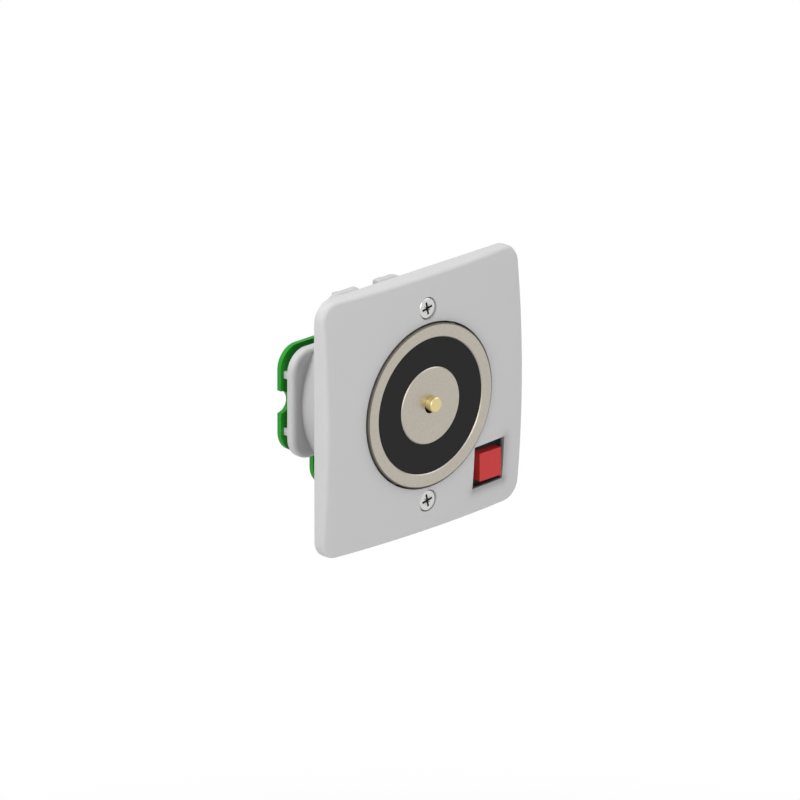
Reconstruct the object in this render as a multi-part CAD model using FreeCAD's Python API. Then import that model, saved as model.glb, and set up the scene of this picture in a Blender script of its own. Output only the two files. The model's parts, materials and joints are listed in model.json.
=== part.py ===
import FreeCAD, Part
import math
import os

# Flush door holder: an electromagnet in a plastic housing behind a square crowned face plate.
# A brass ejector pin stands out of the magnet's core and pushes the door's armature off when the
# current stops. A red push button in the plate's corner releases the door by hand. A circuit board
# on the back of the housing carries the terminals.
# All sizes are in millimetres. The origin is the centre of the plate's back, on the wall.
# -Y points out of the wall towards the door, +X is right seen from the door, +Z is up.
# The magnet's radius sets the housing, the screws beside it, the button window and the plate.

Vector = FreeCAD.Vector
ALONG_X = Vector(1, 0, 0)
ALONG_Y = Vector(0, 1, 0)
ALONG_Z = Vector(0, 0, 1)

# Clearances
running_clearance = 0.05
thread_clearance = 0.02
press_clearance = 0.02
seat_clearance = 0.05
pocket_clearance = 0.2
button_clearance = 0.1
board_hole_clearance = 0.1
screw_hole_clearance = 0.2
counterbore_clearance = 0.2
screw_side_clearance = 0.45
magnet_hole_clearance = 0.6
magnet_housing_clearance = 0.15
tube_clearance = 0.3
overcut = 1.0

# Face plate
plate_corner = 6.0
plate_crown_radius = 330.0
plate_height = 7.8
plate_edge_fillet = 1.5
plate_wall = 2.35
rib_thickness = 1.2
rib_angles = (0, 22, 68, 112, 158, 180, 202, 248)

# Magnet
magnet_radius = 25.0
magnet_setback = 0.3
magnet_height = 25.65
pot_wall = 4.1
pot_base_thickness = 6.0
core_radius = 11.8
spigot_radius = 7.0
magnet_chamfer = 0.3
pole_chamfer = 0.25
resin_recess = 0.25
resin_thickness = 1.25
bobbin_wall = 1.2
bobbin_flange = 1.0
winding_margin = 0.8

# Ejector
ejector_radius = 2.25
ejector_rise = 0.83
ejector_travel = 2.35
ejector_collar_radius = 3.7
ejector_collar_length = 2.0
ejector_collar_depth = 8.2
ejector_tail_radius = 1.3
ejector_tail_length = 6.0
ejector_chamfer = 0.15
relief_clearance = 0.07
relief_depth = 6.0
chamber_clearance = 0.3
plug_length = 3.5
plug_socket_flats = 3.0
plug_socket_depth = 2.5
spring_wire_radius = 0.3
spring_tail_gap = 1.0
spring_pitch = 1.9

# Housing
housing_wall = 2.65
housing_front = -1.0
housing_back_taper = 1.8
flange_overhang = 3.0
flange_lobe_half = 17.1
flange_corner = 7.0
flange_thickness = 3.0
flange_edge_fillet = 1.4
screw_slot_play = 2.15
screw_channel_play = 1.65
screw_slot_depth = 2.8
peg_half = 1.1
peg_inset = 2.4
peg_offset = 8.8
board_gap = 2.9
ear_rim = 0.6
ear_thickness = 2.5
ear_screw_gap = 0.9
ear_angles = (45, 135, 225)

# Circuit board: how far its edges stand in from, or out over, the flange
board_thickness = 1.6
board_side_inset = 0.3
board_bottom_inset = 0.6
board_shoulder_inset = 0.9
board_top_overhang = 0.1
board_lobe_overhang = 0.4
board_corner = 7.0
board_notch_radius = 3.5
board_notch_rise = 0.3
board_screw_side_inset = 7.5
board_screw_low_inset = 4.2
board_screw_top_inset = 3.7
post_wall = 1.55

# Fasteners
screw_edge = 0.3
pilot_room = 0.3
plate_screw_radius = 1.75
plate_screw_head_radius = 3.25
plate_screw_head_height = 2.2
plate_screw_length = 16.0
plate_screw_recess = 0.35
plate_screw_neck_radius = 1.5
plate_screw_neck_end = 0.3
plate_boss_wall = 1.5
housing_screw_radius = 1.25
housing_screw_head_radius = 2.5
housing_screw_head_height = 1.7
housing_screw_grip = 2.7
housing_boss_wall = 1.65
magnet_screw_radius = 2.0
magnet_screw_head_radius = 3.5
magnet_screw_head_height = 2.2
magnet_screw_end_wall = 1.6
magnet_screw_inset = 9.0
board_screw_radius = 1.25
board_screw_head_radius = 2.4
board_screw_head_height = 1.6
board_screw_grip = 1.0
small_slot_depth = 0.7
small_slot_width = 0.6
large_slot_depth = 1.0
large_slot_width = 0.9

# Cross recess of the plate screws
recess_turn = 12.0
recess_reach = 2.0
recess_arm_width = 0.7
recess_depth = 1.3
tick_width = 0.16
tick_reach = 1.5
tick_depth = 0.2

# Push button and its window, whose inner corner stays clear of the magnet's hole by the web
button_size = 8.75
button_setback = 2.3
button_travel = 0.5
button_skirt_overhang = 0.475
button_skirt_thickness = 0.45
window_web = 0.5
window_shift = 0.25
window_left_margin = 3.27
window_right_margin = 1.1
window_top_margin = 3.1
window_bottom_margin = 1.5
window_pad_margin = 1.5
bezel_setback = 5.05
bezel_thickness = 0.6
bezel_margin = 1.1
bezel_frame_wall = 1.15
dome_radius = 4.0
dome_thickness = 0.12
dome_room = 0.1

# The button's board and the two pegs that hold it
button_board_thickness = 0.8
button_board_length = 22.3
button_board_gap = 0.45
stake_land = 0.38
stake_inset = 2.9
stake_near_inset = 2.7
stake_boss_radius = 2.2
stake_radius = 0.8
stake_head_radius = 1.4
stake_head_height = 0.23
stake_root = 0.5

# Wiring
lead_radius = 0.6
lead_spacing = 2.2
lead_gap = 1.4
lead_rise = 1.1
lead_landing_inset = 1.65
coil_lead_radius = 0.7
coil_lead_x = 3.0
coil_lead_inset = 1.45
coil_lead_rise = 0.8
coil_lead_tail = 1.5

# Terminal block, on the back of the board's lower lobe
terminal_count = 4
terminal_pitch = 5.0
terminal_height = 9.5
terminal_depth = 8.0
terminal_lead_gap = 2.1
terminal_side_wall = 0.15
terminal_chamfer = 1.6
clamp_width = 3.8
clamp_height = 4.4
clamp_depth = 4.6
clamp_rise = 1.6
clamp_setback = 0.9
wire_entry_radius = 1.6
clamp_screw_radius = 1.25
clamp_screw_head_radius = 1.75
clamp_screw_head_height = 1.3
clamp_screw_recess = 0.7
clamp_slot_width = 0.5
clamp_slot_depth = 0.6
pin_half = 0.45
pin_through = 1.0

# Diodes on the back of the board
diode_radius = 1.35
diode_length = 5.2
diode_edge = 0.3
diode_leg_radius = 0.4
diode_leg_span = 10.2
diode_bend = 1.0
diode_rise = 0.15
polarity_diode_z = 6.0
flyback_diode_z = -4.0

# Radii and half widths that follow from the sizes above
pot_inner_radius = magnet_radius - pot_wall
magnet_hole_radius = magnet_radius + magnet_hole_clearance
relief_radius = ejector_radius + relief_clearance
chamber_radius = ejector_collar_radius + chamber_clearance
spring_mean_radius = ejector_tail_radius + spring_tail_gap + spring_wire_radius
housing_radius = magnet_radius + magnet_housing_clearance + housing_wall
flange_half = housing_radius + flange_overhang
plate_screw_offset = housing_radius + screw_side_clearance + plate_screw_radius
counterbore_radius = plate_screw_head_radius + counterbore_clearance
plate_boss_radius = counterbore_radius + plate_boss_wall
screw_slot_half = plate_screw_radius + screw_slot_play
screw_channel_radius = plate_screw_radius + screw_channel_play
screw_slot_bottom = flange_half - screw_slot_depth
ear_radius = housing_screw_head_radius + ear_rim
ear_circle = housing_radius + housing_screw_head_radius + ear_screw_gap
housing_boss_radius = housing_screw_radius + housing_boss_wall
post_radius = board_screw_radius + post_wall
magnet_screw_offset = magnet_radius - magnet_screw_inset
housing_screw_length = ear_thickness + housing_screw_grip
magnet_screw_length = flange_thickness + pot_base_thickness - magnet_screw_end_wall
board_screw_length = board_thickness + board_gap + board_screw_grip
board_half_width = flange_half - board_side_inset
board_bottom = flange_half - board_bottom_inset
board_shoulder = flange_lobe_half - board_shoulder_inset
board_top = flange_lobe_half + board_top_overhang
board_lobe_half = flange_lobe_half + board_lobe_overhang
coil_lead_z = -(core_radius + running_clearance + bobbin_wall + coil_lead_inset)
terminal_top = coil_lead_z - terminal_lead_gap
terminal_bottom = terminal_top - terminal_depth
lead_circle = housing_radius + lead_gap + lead_radius
lead_landing = math.hypot(board_lobe_half, board_shoulder) - lead_landing_inset
lead_bend = (lead_circle - lead_landing) / 2

# The button's corner of the plate, from the magnet outwards to the plate's edge
window_reach = (magnet_hole_radius + window_web) * math.cos(math.radians(45))
window_left = window_reach + window_shift
window_top = -(window_reach - window_shift)
button_x = window_left + window_left_margin + button_size / 2
button_z = window_top - window_top_margin - button_size / 2
window_right = button_x + button_size / 2 + window_right_margin
window_bottom = button_z - button_size / 2 - window_bottom_margin
button_skirt = button_size + 2 * button_skirt_overhang
bezel_frame_room = button_skirt + 4 * button_clearance
bezel_frame_size = bezel_frame_room + 2 * bezel_frame_wall
stake_far = window_right + bezel_margin + pocket_clearance + stake_land + stake_radius
button_board_far = stake_far + stake_inset
button_board_near = button_board_far - button_board_length
stake_near = button_board_near + stake_near_inset
plate_half = button_board_far + button_board_gap + plate_wall
button_board_corner = plate_corner - plate_wall - button_board_gap

# Planes across Y that follow from the sizes above
magnet_front = -plate_height + magnet_setback
magnet_back = magnet_front + magnet_height
pot_floor = magnet_back - pot_base_thickness
flange_front = magnet_back
flange_back = flange_front + flange_thickness
board_front = flange_back + board_gap
board_back = board_front + board_thickness
terminal_back = board_back + terminal_height
resin_front = magnet_front + resin_recess
bobbin_front = resin_front + resin_thickness
collar_front = magnet_front + ejector_collar_depth
plug_front = magnet_back - plug_length
crown_drop = plate_crown_radius - math.sqrt(plate_crown_radius ** 2 - plate_screw_offset ** 2)
plate_screw_face = -plate_height + crown_drop + plate_screw_recess
counterbore_floor = plate_screw_face + plate_screw_head_height
ear_back = housing_front + ear_thickness
button_front = -plate_height + button_setback
bezel_front = -plate_height + bezel_setback
bezel_back = bezel_front + bezel_thickness
skirt_front = bezel_back + seat_clearance
skirt_back = skirt_front + button_skirt_thickness
button_board_front = skirt_back + button_travel + dome_room
button_board_back = button_board_front + button_board_thickness
dome_height = button_travel + dome_room - seat_clearance


def bar(radius, y_front, y_back, x=0.0, z=0.0):
    """Round bar along Y."""
    return Part.makeCylinder(radius, y_back - y_front, Vector(x, y_front, z), ALONG_Y)


def block(x_low, x_high, y_low, y_high, z_low, z_high):
    """Rectangular block between two corners."""
    corner = Vector(x_low, y_low, z_low)
    return Part.makeBox(x_high - x_low, y_high - y_low, z_high - z_low, corner)


def rounded_slab(x_low, x_high, z_low, z_high, corner, y_low, y_high):
    """Block with its four edges along Y rounded."""
    slab = block(x_low, x_high, y_low, y_high, z_low, z_high)
    uprights = []
    for edge in slab.Edges:
        run = edge.Vertexes[1].Point - edge.Vertexes[0].Point
        if abs(run.y) > abs(run.x) + abs(run.z):
            uprights.append(edge)
    return slab.makeFillet(corner, uprights)


def front_edges(solid):
    """The edges that lie wholly in the solid's front plane."""
    middle = (solid.BoundBox.YMin + solid.BoundBox.YMax) / 2
    return [edge for edge in solid.Edges if edge.BoundBox.YMax < middle]


def turned(outline, z=0.0):
    """Solid turned about a line along Y from a closed outline of (radius, y) corners."""
    corners = [Vector(radius, y, 0) for radius, y in outline]
    face = Part.Face(Part.makePolygon(corners + corners[:1]))
    solid = face.revolve(Vector(0, 0, 0), ALONG_Y, 360)
    solid.translate(Vector(0, 0, z))
    return solid


def around_axis(solid, angle):
    """Copy of a solid turned about the magnet's axis, counter-clockwise seen from the door."""
    copy = solid.copy()
    copy.rotate(Vector(0, 0, 0), ALONG_Y, -angle)
    return copy


def bent_rod(points, bend, radius):
    """Round rod along straight runs, with an arc of the given radius at each inner corner."""
    edges = []
    start = points[0]
    for before, corner, after in zip(points, points[1:], points[2:]):
        incoming = (before - corner).normalize()
        outgoing = (after - corner).normalize()
        half_angle = incoming.getAngle(outgoing) / 2
        setback = bend / math.tan(half_angle)
        middle_way = (incoming + outgoing).normalize()
        centre = corner + middle_way * (bend / math.sin(half_angle))
        arc_start = corner + incoming * setback
        arc_end = corner + outgoing * setback
        arc_middle = centre - middle_way * bend
        if not arc_start.isEqual(start, running_clearance):
            edges.append(Part.LineSegment(start, arc_start).toShape())
        edges.append(Part.Arc(arc_start, arc_middle, arc_end).toShape())
        start = arc_end
    edges.append(Part.LineSegment(start, points[-1]).toShape())
    section = Part.makeCircle(radius, points[0], points[1] - points[0])
    return Part.Wire(edges).makePipeShell([Part.Wire(section)], True, False)


def crowned_block(half, corner, radius, y_back):
    """Rounded square whose front follows a sphere of the given radius about the crown's centre."""
    slab = rounded_slab(-half, half, -half, half, corner, -2 * plate_height, y_back)
    ball = Part.makeSphere(radius, Vector(0, plate_crown_radius - plate_height, 0))
    return slab.common(ball)


def screw_places():
    """Places of the two plate screws, in the plane of the wall."""
    return ((0.0, plate_screw_offset), (0.0, -plate_screw_offset))


def ear_places():
    """Places of the screws that hold the housing to the plate."""
    places = []
    for angle in ear_angles:
        turn = math.radians(angle)
        places.append((ear_circle * math.cos(turn), ear_circle * math.sin(turn)))
    return places


def stake_places():
    """Places of the two pegs that hold the button's board."""
    return ((stake_far, -stake_near), (stake_near, -stake_far))


def window_block(margin, y_front, y_back):
    """The button window's outline, grown by a margin, between two depths."""
    return block(
        window_left - margin, window_right + margin, y_front, y_back,
        window_bottom - margin, window_top + margin,
    )


def face_plate():
    """Crowned moulded shell with a collar, ribs, bosses, the button window and two staked pegs."""
    outer = crowned_block(plate_half, plate_corner, plate_crown_radius, 0.0)
    crown = max(outer.Faces, key=lambda face: face.Area if face.CenterOfMass.y < -plate_height / 2 else 0)
    outer = outer.makeFillet(plate_edge_fillet, crown.Edges)
    hollow = crowned_block(
        plate_half - plate_wall, plate_corner - plate_wall, plate_crown_radius - plate_wall, overcut,
    )
    kept = [bar(housing_radius, -plate_height, housing_front)]
    for x, z in screw_places():
        kept.append(bar(plate_boss_radius, -plate_height, housing_front, x, z))
    for x, z in ear_places():
        kept.append(bar(housing_boss_radius, -plate_height, housing_front, x, z))
    for x, z in stake_places():
        kept.append(bar(stake_boss_radius, -plate_height, button_board_front, x, z))
    for angle in rib_angles:
        rib = block(0, plate_half, -plate_height, housing_front, -rib_thickness / 2, rib_thickness / 2)
        kept.append(around_axis(rib, angle))
    for solid in kept:
        hollow = hollow.cut(solid)
    hollow = hollow.fuse(window_block(bezel_margin + pocket_clearance, bezel_front, overcut))
    hollow = hollow.cut(window_block(window_pad_margin + bezel_margin, -plate_height, bezel_front))
    plate = outer.cut(hollow)
    plate = plate.cut(bar(magnet_hole_radius, -2 * plate_height, overcut))
    plate = plate.cut(window_block(0.0, -2 * plate_height, overcut))
    for x, z in screw_places():
        plate = plate.cut(bar(counterbore_radius, -2 * plate_height, counterbore_floor, x, z))
        plate = plate.cut(bar(plate_screw_radius + screw_hole_clearance, -plate_height, overcut, x, z))
    pilot_end = ear_back - housing_screw_length - pilot_room
    for x, z in ear_places():
        plate = plate.cut(bar(housing_screw_radius + thread_clearance, pilot_end, overcut, x, z))
    for x, z in stake_places():
        peg = bar(stake_radius, button_board_front - stake_root, button_board_back, x, z)
        head_back = button_board_back + stake_head_height
        plate = plate.fuse([peg, bar(stake_head_radius, button_board_back, head_back, x, z)])
    return plate.removeSplitter()


def flange_lobes(half_x, half_z):
    """One bar of the cross-shaped flange, with a soft front edge."""
    slab = rounded_slab(-half_x, half_x, -half_z, half_z, flange_corner, flange_front, flange_back)
    return slab.makeFillet(flange_edge_fillet, front_edges(slab))


def peg_places():
    """Places of the spacer pegs, two on each lobe of the flange."""
    reach = flange_half - peg_inset
    places = []
    for side in (-1, 1):
        for turn in (-1, 1):
            places.append((side * reach, turn * peg_offset))
            places.append((turn * peg_offset, side * reach))
    return places


def board_screw_places():
    """Places of the board's screws: two low at the sides and one in the middle of the top."""
    side = board_half_width - board_screw_side_inset
    low = -(board_shoulder - board_screw_low_inset)
    return ((-side, low), (side, low), (0.0, board_top - board_screw_top_inset))


def coil_lead_places():
    """Places of the two coil leads."""
    return ((-coil_lead_x, coil_lead_z), (coil_lead_x, coil_lead_z))


def housing():
    """Cup for the magnet with a cross-shaped flange, spacer pegs, screw posts and three ears."""
    cup = turned([
        (0, housing_front),
        (housing_radius, housing_front),
        (housing_radius, flange_front),
        (housing_radius - housing_back_taper, flange_back),
        (0, flange_back),
    ])
    cup = cup.fuse(flange_lobes(flange_half, flange_lobe_half))
    cup = cup.fuse(flange_lobes(flange_lobe_half, flange_half))
    for x, z in ear_places():
        cup = cup.fuse(bar(ear_radius, housing_front, ear_back, x, z))
    for angle in ear_angles:
        neck = block(magnet_radius, ear_circle, housing_front, ear_back, -ear_radius, ear_radius)
        cup = cup.fuse(around_axis(neck, angle))
    for x, z in peg_places():
        cup = cup.fuse(block(
            x - peg_half, x + peg_half, flange_back, board_front, z - peg_half, z + peg_half,
        ))
    for x, z in board_screw_places():
        cup = cup.fuse(bar(post_radius, flange_back, board_front, x, z))
    cup = cup.cut(bar(magnet_radius + magnet_housing_clearance, housing_front, flange_front))
    for x, z in screw_places():
        cup = cup.cut(bar(screw_channel_radius, housing_front, flange_front, x, z))
    over = flange_half + overcut
    for low, high in ((screw_slot_bottom, over), (-over, -screw_slot_bottom)):
        cup = cup.cut(block(
            -screw_slot_half, screw_slot_half, flange_front - overcut, flange_back + overcut, low, high,
        ))
    for x, z in ear_places():
        hole = bar(housing_screw_radius + screw_hole_clearance, housing_front, ear_back, x, z)
        cup = cup.cut(hole)
    pilot_front = board_back - board_screw_length - pilot_room
    for x, z in board_screw_places():
        cup = cup.cut(bar(board_screw_radius + thread_clearance, pilot_front, board_front, x, z))
    for x in (-magnet_screw_offset, magnet_screw_offset):
        cup = cup.cut(bar(magnet_screw_radius + screw_hole_clearance, flange_front, flange_back, x))
    for x, z in coil_lead_places():
        cup = cup.cut(bar(coil_lead_radius + board_hole_clearance, flange_front, flange_back, x, z))
    return cup.removeSplitter()


def magnet_pot():
    """Turned steel pot: the outer pole and the base that the core seats in."""
    pot = turned([
        (spigot_radius + press_clearance, pot_floor),
        (pot_inner_radius, pot_floor),
        (pot_inner_radius, magnet_front + pole_chamfer),
        (pot_inner_radius + pole_chamfer, magnet_front),
        (magnet_radius - magnet_chamfer, magnet_front),
        (magnet_radius, magnet_front + magnet_chamfer),
        (magnet_radius, magnet_back - magnet_chamfer),
        (magnet_radius - magnet_chamfer, magnet_back),
        (spigot_radius + press_clearance, magnet_back),
    ])
    thread_end = flange_back - magnet_screw_length - pilot_room
    for x in (-magnet_screw_offset, magnet_screw_offset):
        pot = pot.cut(bar(magnet_screw_radius + thread_clearance, thread_end, magnet_back, x))
    for x, z in coil_lead_places():
        pot = pot.cut(bar(2 * coil_lead_radius, pot_floor, magnet_back, x, z))
    return pot


def magnet_core():
    """Turned steel core: the inner pole, bored for the ejector with a spring chamber behind."""
    core = turned([
        (0, magnet_front),
        (core_radius - pole_chamfer, magnet_front),
        (core_radius, magnet_front + pole_chamfer),
        (core_radius, pot_floor),
        (spigot_radius, pot_floor),
        (spigot_radius, magnet_back),
        (0, magnet_back),
    ])
    rise = ejector_rise
    core = core.cut(bar(relief_radius, magnet_front, magnet_front + relief_depth))
    core = core.cut(bar(ejector_radius + running_clearance, magnet_front, collar_front, 0, rise))
    return core.cut(bar(chamber_radius, collar_front, magnet_back, 0, rise))


def coil_bobbin():
    """Moulded spool between the two poles."""
    inner = core_radius + running_clearance
    outer = pot_inner_radius - running_clearance
    spool = turned([
        (inner, bobbin_front),
        (outer, bobbin_front),
        (outer, bobbin_front + bobbin_flange),
        (inner + bobbin_wall, bobbin_front + bobbin_flange),
        (inner + bobbin_wall, pot_floor - bobbin_flange),
        (outer, pot_floor - bobbin_flange),
        (outer, pot_floor),
        (inner, pot_floor),
    ])
    for x, z in coil_lead_places():
        hole = coil_lead_radius + running_clearance
        spool = spool.cut(bar(hole, pot_floor - bobbin_flange, pot_floor, x, z))
    return spool


def coil_winding():
    """The copper turns as one ring with a slightly rounded outside."""
    inner = core_radius + running_clearance + bobbin_wall
    outer = pot_inner_radius - winding_margin
    front = bobbin_front + bobbin_flange
    back = pot_floor - bobbin_flange
    ring = bar(outer, front, back).cut(bar(inner, front, back))
    for x, z in coil_lead_places():
        ring = ring.cut(bar(coil_lead_radius + running_clearance, back - coil_lead_tail, back, x, z))
    return ring


def resin_ring():
    """Black casting resin that closes the gap between the poles."""
    outer = bar(pot_inner_radius - press_clearance, resin_front, bobbin_front)
    return outer.cut(bar(core_radius + press_clearance, resin_front, bobbin_front))


def ejector_pin():
    """Brass pin with a stop collar and a tail that guides the spring."""
    collar_back = collar_front + ejector_collar_length
    face = magnet_front - ejector_travel
    return turned([
        (0, face),
        (ejector_radius - ejector_chamfer, face),
        (ejector_radius, face + ejector_chamfer),
        (ejector_radius, collar_front),
        (ejector_collar_radius, collar_front),
        (ejector_collar_radius, collar_back),
        (ejector_tail_radius, collar_back),
        (ejector_tail_radius, collar_back + ejector_tail_length),
        (0, collar_back + ejector_tail_length),
    ], ejector_rise)


def ejector_spring():
    """Coil spring between the pin's collar and the plug."""
    front = collar_front + ejector_collar_length + spring_wire_radius
    run = plug_front - spring_wire_radius - front
    helix = Part.makeHelix(spring_pitch, run, spring_mean_radius)
    climb = spring_pitch / (2 * math.pi * spring_mean_radius)
    start = Vector(spring_mean_radius, 0, 0)
    section = Part.Wire(Part.makeCircle(spring_wire_radius, start, Vector(0, 1, climb)))
    coil = Part.Wire(helix.Edges).makePipeShell([section], True, True)
    coil.rotate(Vector(0, 0, 0), ALONG_X, -90)
    coil.translate(Vector(0, front, ejector_rise))
    return coil


def ejector_plug():
    """Screwed plug that closes the spring chamber, with a hexagon socket."""
    plug = bar(chamber_radius - thread_clearance, plug_front, magnet_back, 0, ejector_rise)
    corner_radius = plug_socket_flats / math.sqrt(3)
    corners = []
    for step in range(7):
        turn = math.radians(60 * step)
        corners.append(Vector(
            corner_radius * math.cos(turn), magnet_back, ejector_rise + corner_radius * math.sin(turn),
        ))
    hexagon = Part.Face(Part.makePolygon(corners))
    return plug.cut(hexagon.extrude(Vector(0, -plug_socket_depth, 0)))


def screw(radius, length, head_radius, head_height, under_head, x, z, points_to_door):
    """Plain screw along Y with its head's underside at under_head and a chamfered tip."""
    way = -1 if points_to_door else 1
    tip = under_head + way * length
    outline = [
        (0, under_head - way * head_height),
        (head_radius - screw_edge, under_head - way * head_height),
        (head_radius, under_head - way * (head_height - screw_edge)),
        (head_radius, under_head),
        (radius, under_head),
        (radius, tip - way * radius / 2),
        (radius / 2, tip),
        (0, tip),
    ]
    solid = turned(outline, z)
    solid.translate(Vector(x, 0, 0))
    return solid


def tapered_arm(width, reach, depth):
    """One bar of a cross recess: full reach at the face, narrowing to a third at its bottom."""
    corners = [
        Vector(-reach, 0, 0), Vector(reach, 0, 0),
        Vector(reach / 3, depth, 0), Vector(-reach / 3, depth, 0),
    ]
    face = Part.Face(Part.makePolygon(corners + corners[:1]))
    arm = face.extrude(Vector(0, 0, width))
    arm.translate(Vector(0, 0, -width / 2))
    return arm


def cross_recess():
    """Cutter for the drive recess: two tapered bars and two fine ticks between them."""
    arm = tapered_arm(recess_arm_width, recess_reach, recess_depth)
    tick = tapered_arm(tick_width, tick_reach, tick_depth)
    cutter = around_axis(arm, recess_turn)
    cutter = cutter.fuse(around_axis(arm, recess_turn + 90))
    cutter = cutter.fuse(around_axis(tick, recess_turn + 45))
    cutter = cutter.fuse(around_axis(tick, recess_turn + 135))
    return cutter


def plate_screws():
    """The two screws that hold the plate to the wall box, necked where they pass through its bosses."""
    recess = cross_recess()
    thread_front = housing_front + plate_screw_neck_end
    solids = []
    for x, z in screw_places():
        solid = screw(
            plate_screw_radius, plate_screw_length, plate_screw_head_radius, plate_screw_head_height,
            counterbore_floor, x, z, False,
        )
        sleeve = bar(plate_screw_radius, counterbore_floor, thread_front, x, z)
        neck = bar(plate_screw_neck_radius, counterbore_floor, thread_front, x, z)
        solid = solid.cut(sleeve.cut(neck))
        cutter = recess.copy()
        cutter.translate(Vector(x, plate_screw_face, z))
        solids.append(solid.cut(cutter))
    return Part.makeCompound(solids)


def slotted(solid, x, z, y_face, head_radius, depth, width):
    """Cut a screwdriver slot into a head that faces the wall."""
    return solid.cut(block(
        x - head_radius, x + head_radius, y_face - depth, y_face + overcut,
        z - width / 2, z + width / 2,
    ))


def housing_screws():
    """Self-tapping screws through the housing's ears into the plate's bosses."""
    solids = []
    for x, z in ear_places():
        solid = screw(
            housing_screw_radius, housing_screw_length, housing_screw_head_radius,
            housing_screw_head_height, ear_back, x, z, True,
        )
        face = ear_back + housing_screw_head_height
        solids.append(slotted(
            solid, x, z, face, housing_screw_head_radius, small_slot_depth, small_slot_width,
        ))
    return Part.makeCompound(solids)


def magnet_screws():
    """Screws through the housing's back wall into the magnet's base."""
    solids = []
    for x in (-magnet_screw_offset, magnet_screw_offset):
        solid = screw(
            magnet_screw_radius, magnet_screw_length, magnet_screw_head_radius,
            magnet_screw_head_height, flange_back, x, 0.0, True,
        )
        face = flange_back + magnet_screw_head_height
        solids.append(slotted(
            solid, x, 0.0, face, magnet_screw_head_radius, large_slot_depth, large_slot_width,
        ))
    return Part.makeCompound(solids)


def board_screws():
    """Self-tapping screws that hold the circuit board to the housing's posts."""
    solids = []
    for x, z in board_screw_places():
        solid = screw(
            board_screw_radius, board_screw_length, board_screw_head_radius,
            board_screw_head_height, board_back, x, z, True,
        )
        face = board_back + board_screw_head_height
        solids.append(slotted(
            solid, x, z, face, board_screw_head_radius, small_slot_depth, small_slot_width,
        ))
    return Part.makeCompound(solids)


def terminal_places():
    """X places of the terminals."""
    first = -terminal_pitch * (terminal_count - 1) / 2
    return [first + terminal_pitch * step for step in range(terminal_count)]


def clamp_z():
    """Middle of the clamps, seen from behind."""
    return terminal_bottom + clamp_setback + clamp_depth / 2


def circuit_board():
    """T-shaped board with half-round notches and its drilled holes."""
    board = rounded_slab(
        -board_half_width, board_half_width, -board_shoulder, board_top, board_corner,
        board_front, board_back,
    )
    board = board.fuse(rounded_slab(
        -board_lobe_half, board_lobe_half, -board_bottom, 0, board_corner, board_front, board_back,
    ))
    side = board_half_width
    notches = ((-side, board_notch_rise), (side, board_notch_rise), (0, -board_bottom))
    for x, z in notches:
        board = board.cut(bar(board_notch_radius, board_front, board_back, x, z))
    for x, z in board_screw_places():
        board = board.cut(bar(board_screw_radius + board_hole_clearance, board_front, board_back, x, z))
    for x, z in coil_lead_places():
        board = board.cut(bar(coil_lead_radius + board_hole_clearance, board_front, board_back, x, z))
    for x in terminal_places():
        hole = pin_half * math.sqrt(2) + board_hole_clearance
        board = board.cut(bar(hole, board_front, board_back, x, clamp_z()))
    for z in (polarity_diode_z, flyback_diode_z):
        for x in (-diode_leg_span / 2, diode_leg_span / 2):
            hole = diode_leg_radius + board_hole_clearance
            board = board.cut(bar(hole, board_front, board_back, x, z))
    return board.removeSplitter()


def terminal_block():
    """Moulded terminal body with a chamfered back, wire entries below and screw wells behind."""
    half = terminal_pitch * terminal_count / 2 + terminal_side_wall
    body = block(-half, half, board_back, terminal_back, terminal_bottom, terminal_top)
    chamfered = [
        edge for edge in body.Edges
        if edge.BoundBox.XLength > terminal_pitch and edge.BoundBox.YMin > board_back + clamp_rise
    ]
    body = body.makeChamfer(terminal_chamfer, chamfered)
    clamp_front = board_back + clamp_rise - seat_clearance
    clamp_back = board_back + clamp_rise + clamp_height + seat_clearance
    middle = clamp_z()
    for x in terminal_places():
        half_width = clamp_width / 2 + seat_clearance
        half_depth = clamp_depth / 2 + seat_clearance
        room = block(
            x - half_width, x + half_width, clamp_front, clamp_back,
            middle - half_depth, middle + half_depth,
        )
        body = body.cut(room)
        entry_y = board_back + clamp_rise + clamp_height / 2
        entry_foot = Vector(x, entry_y, terminal_bottom - overcut)
        entry = Part.makeCylinder(wire_entry_radius, overcut + clamp_setback, entry_foot, ALONG_Z)
        body = body.cut(entry)
        well = clamp_screw_head_radius + board_hole_clearance
        body = body.cut(bar(well, clamp_front + clamp_height, terminal_back + overcut, x, middle))
        slot_half = pin_half + running_clearance
        body = body.cut(block(
            x - slot_half, x + slot_half, board_back, clamp_back, middle - slot_half, middle + slot_half,
        ))
    return body.removeSplitter()


def terminal_clamps():
    """Metal clamps with a wire way, a tapped hole and a pin through the board."""
    front = board_back + clamp_rise
    back = front + clamp_height
    middle = clamp_z()
    solids = []
    for x in terminal_places():
        half_width = clamp_width / 2
        clamp = block(
            x - half_width, x + half_width, front, back,
            middle - clamp_depth / 2, middle + clamp_depth / 2,
        )
        way = Part.makeCylinder(
            wire_entry_radius, clamp_depth, Vector(x, front + clamp_height / 2, middle - clamp_depth / 2),
            ALONG_Z,
        )
        clamp = clamp.cut(way)
        tapped = bar(clamp_screw_radius + thread_clearance, front + clamp_height / 2, back, x, middle)
        clamp = clamp.cut(tapped)
        pin = block(
            x - pin_half, x + pin_half, board_front - pin_through, front,
            middle - pin_half, middle + pin_half,
        )
        solids.append(clamp.fuse(pin).removeSplitter())
    return Part.makeCompound(solids)


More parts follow.
